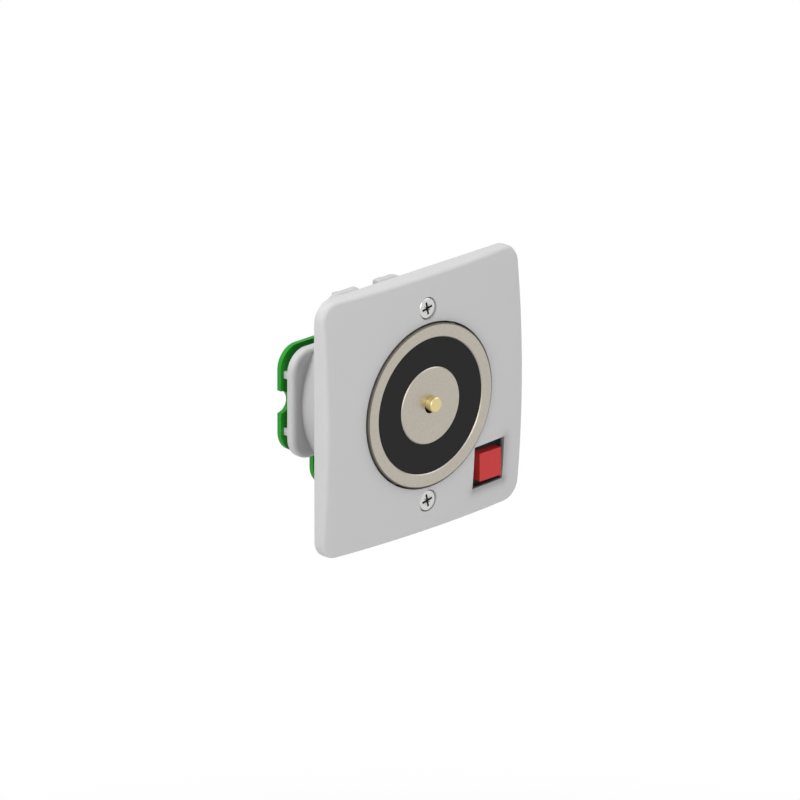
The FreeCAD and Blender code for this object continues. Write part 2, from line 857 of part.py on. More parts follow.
def terminal_screws():
    """Clamping screws, wound halfway out so that a wire can go in."""
    middle = clamp_z()
    head_back = terminal_back - clamp_screw_recess
    under_head = head_back - clamp_screw_head_height
    tip = board_back + clamp_rise + clamp_height / 2 + wire_entry_radius
    solids = []
    for x in terminal_places():
        solid = screw(
            clamp_screw_radius, under_head - tip, clamp_screw_head_radius, clamp_screw_head_height,
            under_head, x, middle, True,
        )
        solids.append(slotted(
            solid, x, middle, head_back, clamp_screw_head_radius, clamp_slot_depth, clamp_slot_width,
        ))
    return Part.makeCompound(solids)


def diode(z):
    """Axial diode: a round body lying on the board, with its legs bent down through it."""
    axis_y = board_back + diode_rise + diode_radius
    half_span = diode_leg_span / 2
    foot = board_front - pin_through
    legs = bent_rod([
        Vector(-half_span, foot, z), Vector(-half_span, axis_y, z),
        Vector(half_span, axis_y, z), Vector(half_span, foot, z),
    ], diode_bend, diode_leg_radius)
    body = Part.makeCylinder(
        diode_radius, diode_length, Vector(-diode_length / 2, axis_y, z), ALONG_X,
    )
    rims = [edge for edge in body.Edges if edge.BoundBox.XLength < diode_edge]
    body = body.makeFillet(diode_edge, rims)
    return body.fuse(legs)


def coil_leads():
    """Two straight sleeved leads from the coil through the base and the board."""
    start = pot_floor - bobbin_flange
    solids = []
    for x, z in coil_lead_places():
        solids.append(bar(coil_lead_radius, start, board_back + coil_lead_rise, x, z))
    return Part.makeCompound(solids)


def button_leads():
    """Two leads from the button's board along the housing and over onto the circuit board."""
    diagonal = math.sqrt(0.5)
    solids = []
    for side in (-0.5, 0.5):
        shift = side * lead_spacing * diagonal

        def place(radius, y):
            """Point on the diagonal through the button, at a distance from the magnet's axis."""
            return Vector(radius * diagonal + shift, y, -radius * diagonal + shift)

        top = board_back + lead_rise + lead_bend
        solids.append(bent_rod([
            place(lead_circle, button_board_back), place(lead_circle, top),
            place(lead_landing, top), place(lead_landing, board_back),
        ], lead_bend, lead_radius))
    return Part.makeCompound(solids)


def button_square(size, y_front, y_back):
    """Square block centred on the button."""
    half = size / 2
    return block(
        button_x - half, button_x + half, y_front, y_back, button_z - half, button_z + half,
    )


def button_cap():
    """Red cap with a skirt that the bezel holds back."""
    cap = button_square(button_size, button_front, skirt_front)
    return cap.fuse(button_square(button_skirt, skirt_front, skirt_back)).removeSplitter()


def switch_bezel():
    """Black panel behind the window, with a frame that stands on the button's board."""
    panel = window_block(bezel_margin, bezel_front, bezel_back)
    panel = panel.cut(bar(magnet_hole_radius, bezel_front, bezel_back))
    frame = button_square(bezel_frame_size, bezel_back, button_board_front)
    frame = frame.cut(button_square(bezel_frame_room, bezel_back, button_board_front))
    frame = frame.cut(bar(housing_radius + tube_clearance, bezel_back, button_board_front))
    bezel = panel.fuse(frame)
    opening = button_size + 2 * button_clearance
    return bezel.cut(button_square(opening, bezel_front, bezel_back)).removeSplitter()


def snap_dome():
    """Sprung metal dome on the button's board."""
    radius = (dome_radius ** 2 + dome_height ** 2) / (2 * dome_height)
    centre = Vector(button_x, button_board_front - dome_height + radius, button_z)
    shell = Part.makeSphere(radius, centre).cut(Part.makeSphere(radius - dome_thickness, centre))
    keep = bar(2 * dome_radius, button_board_front - 2 * dome_height, button_board_front, button_x, button_z)
    return shell.common(keep)


def button_board():
    """Small board behind the button, cut round the housing and staked to the plate."""
    board = rounded_slab(
        button_board_near, button_board_far, -button_board_far, -button_board_near,
        button_board_corner, button_board_front, button_board_back,
    )
    inner = housing_radius + tube_clearance + pocket_clearance
    board = board.cut(bar(inner, button_board_front, button_board_back))
    for x, z in stake_places():
        hole = stake_radius + board_hole_clearance
        board = board.cut(bar(hole, button_board_front, button_board_back, x, z))
    return board


def polarity_diode():
    """Diode in series with the supply."""
    return diode(polarity_diode_z)


def flyback_diode():
    """Diode across the coil."""
    return diode(flyback_diode_z)


pieces = (
    face_plate, plate_screws, housing, housing_screws,
    magnet_pot, magnet_core, magnet_screws, coil_bobbin, coil_winding, coil_leads, resin_ring,
    ejector_pin, ejector_spring, ejector_plug,
    circuit_board, board_screws, terminal_block, terminal_clamps, terminal_screws,
    polarity_diode, flyback_diode,
    switch_bezel, button_cap, snap_dome, button_board, button_leads,
)

os.makedirs("parts", exist_ok=True)
for make in pieces:
    shape = make()
    shape.exportStep("parts/" + make.__name__ + ".step")
    print(make.__name__, len(shape.Solids), shape.isValid(), round(shape.Volume, 2))
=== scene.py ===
import json
import math

import bmesh
import bpy
import numpy as np
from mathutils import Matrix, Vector

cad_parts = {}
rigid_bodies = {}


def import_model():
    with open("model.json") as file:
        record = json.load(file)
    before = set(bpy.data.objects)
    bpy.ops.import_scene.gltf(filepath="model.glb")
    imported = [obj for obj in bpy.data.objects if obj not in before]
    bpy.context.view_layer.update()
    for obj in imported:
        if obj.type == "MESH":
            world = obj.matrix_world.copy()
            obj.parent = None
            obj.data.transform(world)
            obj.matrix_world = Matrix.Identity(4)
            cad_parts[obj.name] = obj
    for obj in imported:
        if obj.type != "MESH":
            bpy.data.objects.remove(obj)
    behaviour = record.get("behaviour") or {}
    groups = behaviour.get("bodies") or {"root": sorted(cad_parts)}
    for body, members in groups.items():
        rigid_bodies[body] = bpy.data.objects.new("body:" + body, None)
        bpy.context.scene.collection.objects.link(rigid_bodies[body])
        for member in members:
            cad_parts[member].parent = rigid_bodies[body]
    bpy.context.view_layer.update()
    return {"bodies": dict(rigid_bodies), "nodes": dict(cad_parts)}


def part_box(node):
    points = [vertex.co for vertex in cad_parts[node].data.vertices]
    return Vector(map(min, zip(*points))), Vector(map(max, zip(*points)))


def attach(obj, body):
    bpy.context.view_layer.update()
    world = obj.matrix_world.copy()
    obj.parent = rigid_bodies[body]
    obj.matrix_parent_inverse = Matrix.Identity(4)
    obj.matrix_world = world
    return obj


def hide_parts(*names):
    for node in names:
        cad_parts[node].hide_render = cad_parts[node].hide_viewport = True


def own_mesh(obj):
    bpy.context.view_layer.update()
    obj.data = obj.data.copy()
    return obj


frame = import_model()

# Looks of a flush electromagnetic door holder.
# Pieces are worked out in millimetres and turned to metres when they become meshes.
# The frame's axes: -Y points out of the wall towards the door, +X is right, +Z is up.

MM = 0.001
# Two places nearer than this, in millimetres, count as one.
SAME = 0.01
BODY_OF = {child.name: body for body, empty in frame["bodies"].items() for child in empty.children}


def low_high(node):
    """Lowest and highest corner of a CAD node, in millimetres."""
    low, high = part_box(node)
    return np.array(low) / MM, np.array(high) / MM


# Places that follow from the frame
PLATE_FRONT = low_high("face_plate")[0][1]
CAP_LOW, CAP_HIGH = low_high("button_cap")
SCREW_LOW, SCREW_HIGH = low_high("plate_screws")
BOARD_LOW, BOARD_HIGH = low_high("circuit_board")
CLAMP_LOW, CLAMP_HIGH = low_high("terminal_clamps")
COIL_LEAD_LOW, COIL_LEAD_HIGH = low_high("coil_leads")
PIN_LOW, PIN_HIGH = low_high("ejector_pin")
POT_RADIUS = low_high("magnet_pot")[1][0]
SPRING_LOW, SPRING_HIGH = low_high("ejector_spring")
POLARITY_LOW, POLARITY_HIGH = low_high("polarity_diode")
FLYBACK_LOW, FLYBACK_HIGH = low_high("flyback_diode")
BOARD_BACK = BOARD_HIGH[1]
BOARD_FRONT = BOARD_LOW[1]
PIN_X = (PIN_LOW[0] + PIN_HIGH[0]) / 2
PIN_Z = (PIN_LOW[2] + PIN_HIGH[2]) / 2


# Colour and material tools

COAT_ROUGHNESS = 0.12
GRAIN_DETAIL = 2.0
GRAIN_ROUGHNESS = 0.6
SHADE_FROM = 0.3
SHADE_TO = 0.7


def linear(hex_colour):
    """An sRGB hex colour as a linear RGBA value: the sRGB curve undone for each channel."""
    channels = [int(hex_colour[i:i + 2], 16) / 255 for i in (0, 2, 4)]
    return [c / 12.92 if c <= 0.04045 else ((c + 0.055) / 1.055) ** 2.4 for c in channels] + [1.0]


def add(tree, kind, inputs=None, links=None, **properties):
    """Adds one shader node, with its properties, its input values and the sockets linked to its inputs."""
    made = tree.nodes.new(kind)
    for name, value in properties.items():
        setattr(made, name, value)
    for socket, value in (inputs or {}).items():
        made.inputs[socket].default_value = value
    for socket, source in (links or {}).items():
        tree.links.new(source, made.inputs[socket])
    return made


def finish(name, colour, roughness, metallic=0.0, ior=1.5, specular=0.5, coat=0.0):
    """A material with one Principled shader. Returns the material, its node tree and the shader."""
    material = bpy.data.materials.new(name)
    material.use_nodes = True
    tree = material.node_tree
    tree.nodes.clear()
    shader = add(tree, "ShaderNodeBsdfPrincipled", {
        "Base Color": linear(colour), "Roughness": roughness, "Metallic": metallic, "IOR": ior,
        "Specular IOR Level": specular, "Coat Weight": coat, "Coat Roughness": COAT_ROUGHNESS,
    })
    add(tree, "ShaderNodeOutputMaterial", links={"Surface": shader.outputs["BSDF"]})
    return material, tree, shader


def grain(tree, shader, size_mm, depth_mm):
    """A fine uneven relief: noise with grains of a size and a depth in millimetres."""
    noise = add(tree, "ShaderNodeTexNoise", {
        "Scale": 1 / (size_mm * MM), "Detail": GRAIN_DETAIL, "Roughness": GRAIN_ROUGHNESS,
    }, {"Vector": add(tree, "ShaderNodeTexCoord").outputs["Object"]})
    bump = add(
        tree, "ShaderNodeBump", {"Strength": 1.0, "Distance": depth_mm * MM},
        {"Height": noise.outputs["Fac"]},
    )
    tree.links.new(bump.outputs["Normal"], shader.inputs["Normal"])
    return noise


def box_distance(tree, place, low, high):
    """Distance from a block between two corners in millimetres, which is 0 inside it: the length of how far
    each coordinate lies beyond the block's half size."""
    apart = add(tree, "ShaderNodeVectorMath", {1: (low + high) / 2 * MM}, {0: place}, operation="SUBTRACT")
    apart = add(tree, "ShaderNodeVectorMath", links={0: apart.outputs["Vector"]}, operation="ABSOLUTE")
    beyond = add(
        tree, "ShaderNodeVectorMath", {1: (high - low) / 2 * MM}, {0: apart.outputs["Vector"]},
        operation="SUBTRACT",
    )
    beyond = add(
        tree, "ShaderNodeVectorMath", {1: (0.0, 0.0, 0.0)}, {0: beyond.outputs["Vector"]},
        operation="MAXIMUM",
    )
    away = add(tree, "ShaderNodeVectorMath", links={0: beyond.outputs["Vector"]}, operation="LENGTH")
    return away.outputs["Value"]


def shade_range(tree, shader, source, low_colour, high_colour):
    """The base colour runs between two close tones with a pattern, so that a surface isn't one flat tone."""
    ramp = add(tree, "ShaderNodeValToRGB", links={"Fac": source})
    ramp.color_ramp.elements[0].position = SHADE_FROM
    ramp.color_ramp.elements[0].color = linear(low_colour)
    ramp.color_ramp.elements[1].position = SHADE_TO
    ramp.color_ramp.elements[1].color = linear(high_colour)
    tree.links.new(ramp.outputs["Color"], shader.inputs["Base Color"])


def rough_range(tree, shader, source, low, high):
    """The roughness runs between two values with a pattern."""
    spread = add(tree, "ShaderNodeMapRange", {"To Min": low, "To Max": high}, {"Value": source})
    tree.links.new(spread.outputs["Result"], shader.inputs["Roughness"])


# Materials

PLATE_COLOUR = "c3c3c3"
# The dark grey that the plate's painted shade runs towards
PAINTED_SHADE_COLOUR = "343434"
# A Mix node's sockets for colours, which share their names with those for numbers
MIX_SHARE = 0
MIX_FIRST = 6
MIX_SECOND = 7
MIX_RESULT = 2
# Painted shade round the magnet's hole: where it starts, how far it fades and how strong it is at the hole
HOLE_GAP = 0.6
HOLE_RADIUS = POT_RADIUS + HOLE_GAP
HOLE_FADE = 1.15
HOLE_PAINTED_SHADE = 0.22
# The same painted shade on the window's right and lower walls, between two depths below the plate's front,
# which count for WALL_STRETCH of their size. A strength above 1 makes a band of painted shade at the wall
# that is grey all over.
WALL_FADE = 0.75
WALL_STRETCH = 0.6
WALL_START = 2.5
WALL_DEEP = 11.0
WALL_THICK = 0.3
RIGHT_WALL_PAINTED_SHADE = 2.0
LOWER_WALL_PAINTED_SHADE = 3.0
# The window's sides stand off the red cap by these gaps, and the painted shade keeps clear of two of its
# corners.
GAP_RIGHT = 1.1
GAP_LEFT = 3.27
GAP_TOP = 3.1
GAP_BOTTOM = 1.5
CLEAR_TOP = 1.0
CLEAR_LEFT = 1.2
WINDOW_RIGHT = CAP_HIGH[0] + GAP_RIGHT
WINDOW_LEFT = CAP_LOW[0] - GAP_LEFT
WINDOW_TOP = CAP_HIGH[2] + GAP_TOP
WINDOW_BOTTOM = CAP_LOW[2] - GAP_BOTTOM
START, DEEP = WALL_START * WALL_STRETCH, WALL_DEEP * WALL_STRETCH
RIGHT_WALL_LOW = np.array([WINDOW_RIGHT - WALL_THICK, START, WINDOW_BOTTOM])
RIGHT_WALL_HIGH = np.array([WINDOW_RIGHT, DEEP, WINDOW_TOP - CLEAR_TOP])
LOWER_WALL_LOW = np.array([WINDOW_LEFT + CLEAR_LEFT, START, WINDOW_BOTTOM])
LOWER_WALL_HIGH = np.array([WINDOW_RIGHT, DEEP, WINDOW_BOTTOM + WALL_THICK])
# The plate's front is part of a ball, and its most forward place is the rim of the magnet's hole.
CROWN_RADIUS = 330.0
CROWN_CENTRE = PLATE_FRONT + math.sqrt(CROWN_RADIUS ** 2 - HOLE_RADIUS ** 2)


def light_abs(name):
    """ABS moulded in a spark-eroded tool: light grey, satin, with a fine even grain."""
    material, tree, shader = finish(name, PLATE_COLOUR, 0.5, ior=1.53, specular=0.35)
    # Real grain is about 0.1 mm; drawn at 0.35 mm, so that it shows as a soft satin.
    grain(tree, shader, 0.35, 0.004)
    return material, tree, shader


def moulded_abs():
    """The housing's ABS, as it left the tool: even all over."""
    return light_abs("abs_moulded_light_grey")[0]


def hole_distance(tree, place):
    """Distance of a place from the rim of the magnet's hole, seen along the magnet's axis."""
    flat = add(tree, "ShaderNodeVectorMath", {1: (1.0, 0.0, 1.0)}, {0: place}, operation="MULTIPLY")
    from_axis = add(tree, "ShaderNodeVectorMath", links={0: flat.outputs["Vector"]}, operation="LENGTH")
    from_rim = add(
        tree, "ShaderNodeMath", {1: HOLE_RADIUS * MM}, {0: from_axis.outputs["Value"]}, operation="SUBTRACT",
    )
    return from_rim.outputs["Value"]


def below_crown(tree, place):
    """A place measured across the plate, below the ball that its front is part of, and up the plate. The
    depth is the ball's radius less the distance from its middle, times WALL_STRETCH."""
    from_middle = add(
        tree, "ShaderNodeVectorMath", {1: (0.0, CROWN_CENTRE * MM, 0.0)}, {0: place}, operation="DISTANCE",
    )
    depth = add(
        tree, "ShaderNodeMath", {0: CROWN_RADIUS * MM}, {1: from_middle.outputs["Value"]},
        operation="SUBTRACT",
    )
    depth = add(tree, "ShaderNodeMath", {1: WALL_STRETCH}, {0: depth.outputs["Value"]}, operation="MULTIPLY")
    parts = add(tree, "ShaderNodeSeparateXYZ", links={0: place})
    measured = add(tree, "ShaderNodeCombineXYZ", links={
        0: parts.outputs["X"], 1: depth.outputs["Value"], 2: parts.outputs["Z"],
    })
    return measured.outputs["Vector"]


def rim_painted_shade(tree, away, fade, strength):
    """How much painted shade a place gets at a distance from a rim: the strength times the exponential of
    minus the distance over the fade, and at most 1."""
    fall = add(tree, "ShaderNodeMath", {1: -1 / (fade * MM)}, {0: away}, operation="MULTIPLY")
    fall = add(tree, "ShaderNodeMath", links={0: fall.outputs["Value"]}, operation="EXPONENT")
    share = add(
        tree, "ShaderNodeMath", {1: strength}, {0: fall.outputs["Value"]},
        operation="MULTIPLY", use_clamp=True,
    )
    return share.outputs["Value"]


def moulded_abs_painted_shade():
    """The same ABS on the plate, with shade painted into its colour round the magnet's hole and on the
    window's right
    and lower walls by the button: the greyest of three rims gives the tone."""
    material, tree, shader = light_abs("abs_moulded_light_grey_handled")
    place = add(tree, "ShaderNodeTexCoord").outputs["Object"]
    in_window = below_crown(tree, place)
    hole = rim_painted_shade(tree, hole_distance(tree, place), HOLE_FADE, HOLE_PAINTED_SHADE)
    right_wall = box_distance(tree, in_window, RIGHT_WALL_LOW, RIGHT_WALL_HIGH)
    lower_wall = box_distance(tree, in_window, LOWER_WALL_LOW, LOWER_WALL_HIGH)
    right = rim_painted_shade(tree, right_wall, WALL_FADE, RIGHT_WALL_PAINTED_SHADE)
    lower = rim_painted_shade(tree, lower_wall, WALL_FADE, LOWER_WALL_PAINTED_SHADE)
    painted_shade = add(tree, "ShaderNodeMath", links={0: hole, 1: right}, operation="MAXIMUM").outputs["Value"]
    painted_shade = add(tree, "ShaderNodeMath", links={0: painted_shade, 1: lower}, operation="MAXIMUM").outputs["Value"]
    tone = add(
        tree, "ShaderNodeMix", {MIX_FIRST: linear(PLATE_COLOUR), MIX_SECOND: linear(PAINTED_SHADE_COLOUR)},
        {MIX_SHARE: painted_shade}, data_type="RGBA",
    )
    tree.links.new(tone.outputs[MIX_RESULT], shader.inputs["Base Color"])
    return material


def ground_nickel():
    """Steel ground flat and nickel plated: warm grey metal, with a fine speckle that blurs its mirroring."""
    material, tree, shader = finish("nickel_plated_ground_steel", "b6afa4", 0.38, metallic=1.0)
    # Grinding grit leaves marks about 0.2 mm long; drawn at 0.45 mm.
    speckle = grain(tree, shader, 0.45, 0.0014)
    shade_range(tree, shader, speckle.outputs["Fac"], "b1aa9f", "bbb4a9")
    rough_range(tree, shader, speckle.outputs["Fac"], 0.34, 0.42)
    return material


def nickel_edge_painted_shade():
    """The poles' broken edges, in the same nickel with painted shade: a little darker than the faces, so that
    the thin highlight on them stays soft."""
    return finish("nickel_plated_turned_edge", "aaa499", 0.42, metallic=1.0)[0]


def painted_gap_shade_steel():
    """The magnet's nickel side and outer broken edge, painted dark and dull: painted shade and painted dark
    reflection of the narrow gap round it, so a dark ring runs round it.
    """
    return finish("steel_blackened", "6e6960", 0.55, specular=0.2)[0]


def cast_resin():
    """Black epoxy cast between the poles: nearly flat, even and dull, with hardly any gloss."""
    material, tree, shader = finish("epoxy_cast_black", "292929", 0.6, specular=0.05)
    # It sets with faint waves a little over a millimetre across.
    grain(tree, shader, 1.2, 0.006)
    return material


# The lathe feeds 0.08 mm a turn; drawn at 1 mm from ring to ring, so that the rings show.
TURNING_FEED = 1.0
TURNING_DEPTH = 0.001
# A Wave node at scale 1 is a sine of 20 times the place, so its waves are this far apart.
WAVE_LENGTH = 2 * math.pi / 20


def turned_brass(centre_x, centre_z):
    """Brass turned on a lathe: bright, with rings round the pin's axis that smear its highlights."""
    material, tree, shader = finish("brass_turned", "d9c893", 0.3, metallic=1.0)
    place = add(tree, "ShaderNodeTexCoord").outputs["Object"]
    place = add(
        tree, "ShaderNodeMapping", {"Location": (-centre_x * MM, 0.0, -centre_z * MM)}, {"Vector": place},
    ).outputs["Vector"]
    marks = {"Scale": WAVE_LENGTH / (TURNING_FEED * MM), "Distortion": 0.6, "Detail": 1.0}
    rings = add(tree, "ShaderNodeTexWave", marks, {"Vector": place}, wave_type="RINGS", rings_direction="Y")
    feed = add(tree, "ShaderNodeTexWave", marks, {"Vector": place}, wave_type="BANDS", bands_direction="Y")
    both = add(
        tree, "ShaderNodeMath", links={0: rings.outputs["Fac"], 1: feed.outputs["Fac"]}, operation="ADD",
    )
    bump = add(
        tree, "ShaderNodeBump", {"Strength": 0.4, "Distance": TURNING_DEPTH * MM},
        {"Height": both.outputs["Value"]},
    )
    tree.links.new(bump.outputs["Normal"], shader.inputs["Normal"])
    return material


def plated_steel():
    """Steel screws and clamps, zinc plated: pale, bright metal with slightly cloudy gloss."""
    material, tree, shader = finish("steel_zinc_plated", "d0d0ce", 0.3, metallic=1.0)
    # The plating clouds over in patches about 0.5 mm across.
    cloud = grain(tree, shader, 0.5, 0.0015)
    rough_range(tree, shader, cloud.outputs["Fac"], 0.24, 0.38)
    return material


def recess_painted_shade():
    """Inside of a drive recess, with its shade painted in: dark grey and matt."""
    return finish("steel_recess_dull", "454443", 0.6, specular=0.1)[0]


def spring_steel():
    """Drawn spring wire and the rolled dome: plain grey metal, smooth along its length."""
    return finish("spring_steel_drawn", "a9a9a8", 0.28, metallic=1.0)[0]


def enamelled_copper():
    """Winding wire under its clear enamel: copper seen through a glossy brown coat."""
    return finish("copper_enamelled", "b06a3c", 0.3, metallic=1.0, coat=0.6)[0]


def natural_nylon():
    """The bobbin, moulded in unfilled nylon: milky cream and slightly waxy."""
    return finish("nylon_moulded_natural", "e2ddcd", 0.45, ior=1.53)[0]


def solder_mask():
    """Glass-fibre board under green solder mask: a saturated green lacquer with a low gloss."""
    material, tree, shader = finish("glass_fibre_board_green_mask", "26922a", 0.42, ior=1.5, specular=0.12)
    # The weave under the lacquer has strands about 0.5 mm wide.
    grain(tree, shader, 0.5, 0.003)
    return material


def masked_copper():
    """Copper tracks under the same lacquer: a lighter, yellower green that stands a little proud."""
    return finish("copper_track_green_mask", "4fb048", 0.32, ior=1.5, specular=0.4)[0]


def tinned_solder():
    """Solder and tinned pads: bright silvery metal, smooth where it flowed."""
    return finish("solder_tinned", "d8d8d4", 0.2, metallic=1.0)[0]


def terminal_nylon():
    """Terminal body moulded in green nylon: dark, satin, with soft edges."""
    material, tree, shader = finish("nylon_moulded_green", "33794c", 0.45, ior=1.53, specular=0.4)
    # Real grain is about 0.1 mm; drawn at 0.4 mm, so that it shows.
    grain(tree, shader, 0.4, 0.004)
    return material


def black_moulding():
    """The panel behind the button's window, moulded in black: dull, so that the window reads as dark."""
    material, tree, shader = finish("abs_moulded_black", "1f1f1f", 0.55, specular=0.2)
    # Real grain is about 0.1 mm; drawn at 0.4 mm, so that it shows.
    grain(tree, shader, 0.4, 0.004)
    return material


def red_moulding():
    """The push button, moulded in signal red: even and satin."""
    material, tree, shader = finish("abs_moulded_red", "c33434", 0.42, ior=1.53, specular=0.25)
    # Real grain is about 0.1 mm; drawn at 0.4 mm, so that it shows.
    grain(tree, shader, 0.4, 0.003)
    return material


def pvc_sleeve():
    """Flexible insulation pulled over the leads: black and slightly shiny."""
    return finish("pvc_extruded_black", "333333", 0.35, ior=1.53)[0]


def painted_band():
    """The painted ring at one end of a diode: pale grey and flat."""
    return finish("paint_pale_grey", "c9c9c6", 0.5)[0]


# Mesh tools

# Points nearer than these become one, in millimetres: in a new piece, and in a CAD node's loose triangles
MERGE_NEAR = 0.0005
MERGE_LOOSE = 0.001
# In degrees: faces this flat with each other join, edges sharper than these stay sharp or get their round
FLAT_ANGLE = 0.05
SHARP_ANGLE = 32.0
ROUND_SHARP_ANGLE = 60.0
EDGE_ANGLE = 40.0


def as_mesh(name, points, faces, sharp_angle=SHARP_ANGLE):
    """A closed mesh from points in millimetres, with its doubles merged, outward faces and soft shading."""
    mesh = bpy.data.meshes.new(name)
    mesh.from_pydata((np.asarray(points, float) * MM).tolist(), [], [list(map(int, face)) for face in faces])
    work = bmesh.new()
    work.from_mesh(mesh)
    bmesh.ops.remove_doubles(work, verts=work.verts, dist=MERGE_NEAR * MM)
    bmesh.ops.recalc_face_normals(work, faces=work.faces)
    work.to_mesh(mesh)
    work.free()
    mesh.shade_smooth()
    mesh.set_sharp_from_angle(angle=math.radians(sharp_angle))
    return mesh


def piece(mesh, body, slot, *materials):
    """An object of the holder: it rides a CAD body and takes the materials it is given. The slot is not used.
    """
    made = bpy.data.objects.new(mesh.name, mesh)
    bpy.context.scene.collection.objects.link(made)
    for material in materials:
        mesh.materials.append(material)
    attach(made, body)
    return made


def grid_faces(rows, columns):
    """Quads between neighbouring rows of a grid whose last column joins its first."""
    row, column = np.meshgrid(np.arange(rows - 1), np.arange(columns), indexing="ij")
    after = (column + 1) % columns
    quads = np.stack([
        row * columns + column, row * columns + after,
        (row + 1) * columns + after, (row + 1) * columns + column,
    ], axis=-1)
    return quads.reshape(-1, 4)


def turned_grid(profile, steps, x=0.0, z=0.0):
    """Points of a surface of revolution: each (radius, y) of the profile goes once round a line along Y."""
    turn = np.linspace(0, 2 * np.pi, steps, endpoint=False)
    radius, y = np.asarray(profile, float).T
    grid = np.stack([
        x + radius[:, None] * np.cos(turn), y[:, None] + 0 * turn, z + radius[:, None] * np.sin(turn),
    ], axis=-1)
    return grid.reshape(-1, 3), grid_faces(len(radius), steps)


def joined(parts):
    """Several (points, faces) pairs as one pair."""
    points, faces, offset = [], [], 0
    for part_points, part_faces in parts:
        points.append(part_points)
        faces.extend((np.asarray(part_faces) + offset).tolist())
        offset += len(part_points)
    return np.concatenate(points), faces


def clean_copy(node, drop=None):
    """A CAD node's mesh with its loose triangles merged and its flat faces joined. drop picks faces, by their
    middles in millimetres, to leave out."""
    work = bmesh.new()
    work.from_mesh(frame["nodes"][node].data)
    bmesh.ops.remove_doubles(work, verts=work.verts, dist=MERGE_LOOSE * MM)
    if drop:
        gone = [face for face in work.faces if drop(np.array(face.calc_center_median()) / MM)]
        bmesh.ops.delete(work, geom=gone, context="FACES")
    bmesh.ops.dissolve_limit(
        work, angle_limit=math.radians(FLAT_ANGLE), verts=work.verts, edges=work.edges,
    )
    mesh = bpy.data.meshes.new(node + "_skin")
    work.verts.ensure_lookup_table()
    points = [vertex.co[:] for vertex in work.verts]
    faces = [[vertex.index for vertex in face.verts] for face in work.faces]
    work.free()
    mesh.from_pydata(points, [], faces)
    mesh.shade_smooth()
    mesh.set_sharp_from_angle(angle=math.radians(SHARP_ANGLE))
    return mesh


def dressed(node, slot, *materials, edge_mm=0.0, drop=None, second=None):
    """Shows a CAD node as a clean copy, whose sharp edges get a small round if edge_mm is given.
    second gives each face the number of its material from its middle, in millimetres, and its normal."""
    mesh = clean_copy(node, drop)
    made = piece(mesh, BODY_OF[node], slot, *materials)
    if second:
        middles = np.array([face.center[:] for face in mesh.polygons]) / MM
        normals = np.array([face.normal[:] for face in mesh.polygons])
        mesh.polygons.foreach_set("material_index", second(middles, normals).astype(np.int32))
    if edge_mm:
        soft = made.modifiers.new("edge_round", "BEVEL")
        soft.width = edge_mm * MM
        soft.segments = 2
        soft.limit_method = "ANGLE"
        soft.angle_limit = math.radians(EDGE_ANGLE)
        soft.use_clamp_overlap = False
        soft.harden_normals = True
    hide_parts(node)
    return made


def plain(node, material):
    """Keeps a CAD node's own mesh, for a piece that nothing shows, and gives it its material."""
    mesh = frame["nodes"][node].data
    mesh.materials.clear()
    mesh.materials.append(material)


ABS = moulded_abs()
PLATE_ABS_PAINTED_SHADE = moulded_abs_painted_shade()
NICKEL = ground_nickel()
EDGE_PAINTED_SHADE = nickel_edge_painted_shade()
GAP_PAINTED_SHADE = painted_gap_shade_steel()
RESIN = cast_resin()
BRASS = turned_brass(PIN_X, PIN_Z)
ZINC = plated_steel()
RECESS_PAINTED_SHADE = recess_painted_shade()
SPRING_STEEL = spring_steel()
COPPER = enamelled_copper()
NYLON = natural_nylon()
MASK = solder_mask()
TRACK = masked_copper()
SOLDER = tinned_solder()
GREEN_NYLON = terminal_nylon()
BLACK_ABS = black_moulding()
RED_ABS = red_moulding()
PVC = pvc_sleeve()
BAND = painted_band()


# Plate, housing and screws

dressed("face_plate", "plate_plastic", PLATE_ABS_PAINTED_SHADE)
dressed("housing", "plate_plastic", ABS, edge_mm=0.15)
dressed("switch_bezel", "bezel_plastic", BLACK_ABS, edge_mm=0.1)
dressed("housing_screws", "plated_steel", ZINC, edge_mm=0.05)
dressed("board_screws", "plated_steel", ZINC, edge_mm=0.05)
plain("magnet_screws", ZINC)

SCREW_HEAD_RADIUS = SCREW_HIGH[0]
SCREW_Z = SCREW_HIGH[2] - SCREW_HEAD_RADIUS
# The drive recess: how far it reaches from a screw's axis, and how deep below the head's face
RECESS_REACH = 2.05
RECESS_DEPTH = 1.35
# The thread, which starts near the wall's face and narrows towards the tip
THREAD_PITCH = 0.6
THREAD_DEPTH = 0.3
THREAD_FRONT = -0.7
THREAD_RADIUS = 1.75
THREAD_TIP_SHARE = 0.55
THREAD_ROWS = 8
THREAD_STEPS = 40
THREAD_SHARP_ANGLE = 80.0


